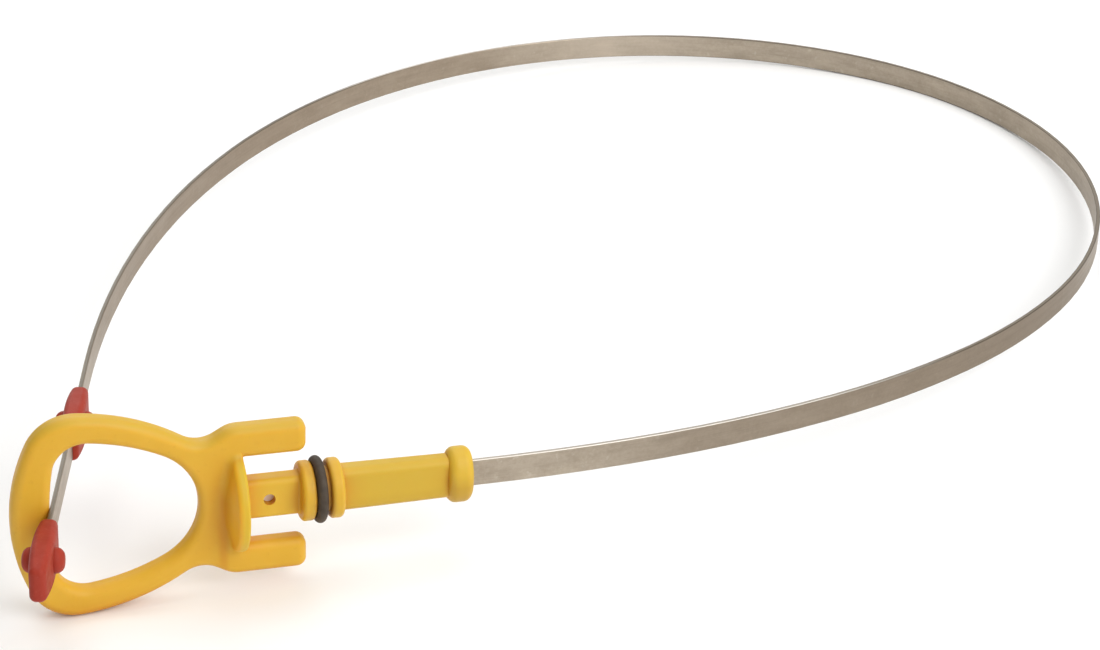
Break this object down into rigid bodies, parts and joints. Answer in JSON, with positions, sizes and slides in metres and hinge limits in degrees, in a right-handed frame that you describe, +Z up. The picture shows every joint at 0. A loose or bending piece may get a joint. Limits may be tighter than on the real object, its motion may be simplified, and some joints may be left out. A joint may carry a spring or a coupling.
{
  "type": "engine oil dipstick",
  "caption": "Engine oil dipstick with a moulded finger-ring handle, forked stop flange and seal ring, and a flat steel blade bent into an open coil that carries moulded guides.",
  "frame": {"origin": "centre of the bounding box on the floor, with the object lying as it comes to rest", "axes": "+X along the handle's stem towards the blade, +Y towards the far side of the coil, +Z up"},
  "size_m": [0.2898, 0.2609, 0.0449],
  "materials": {
    "handle": "satin moulded yellow",
    "o_ring": "dark rubber",
    "blade": "rolled spring steel",
    "upper_guide": "satin moulded red",
    "end_guide": "satin moulded red"
  },
  "bodies": {
    "root": {"handle": "handle", "o_ring": "o_ring", "blade": "blade", "upper_guide": "upper_guide", "end_guide": "end_guide"}
  },
  "joints": []
}
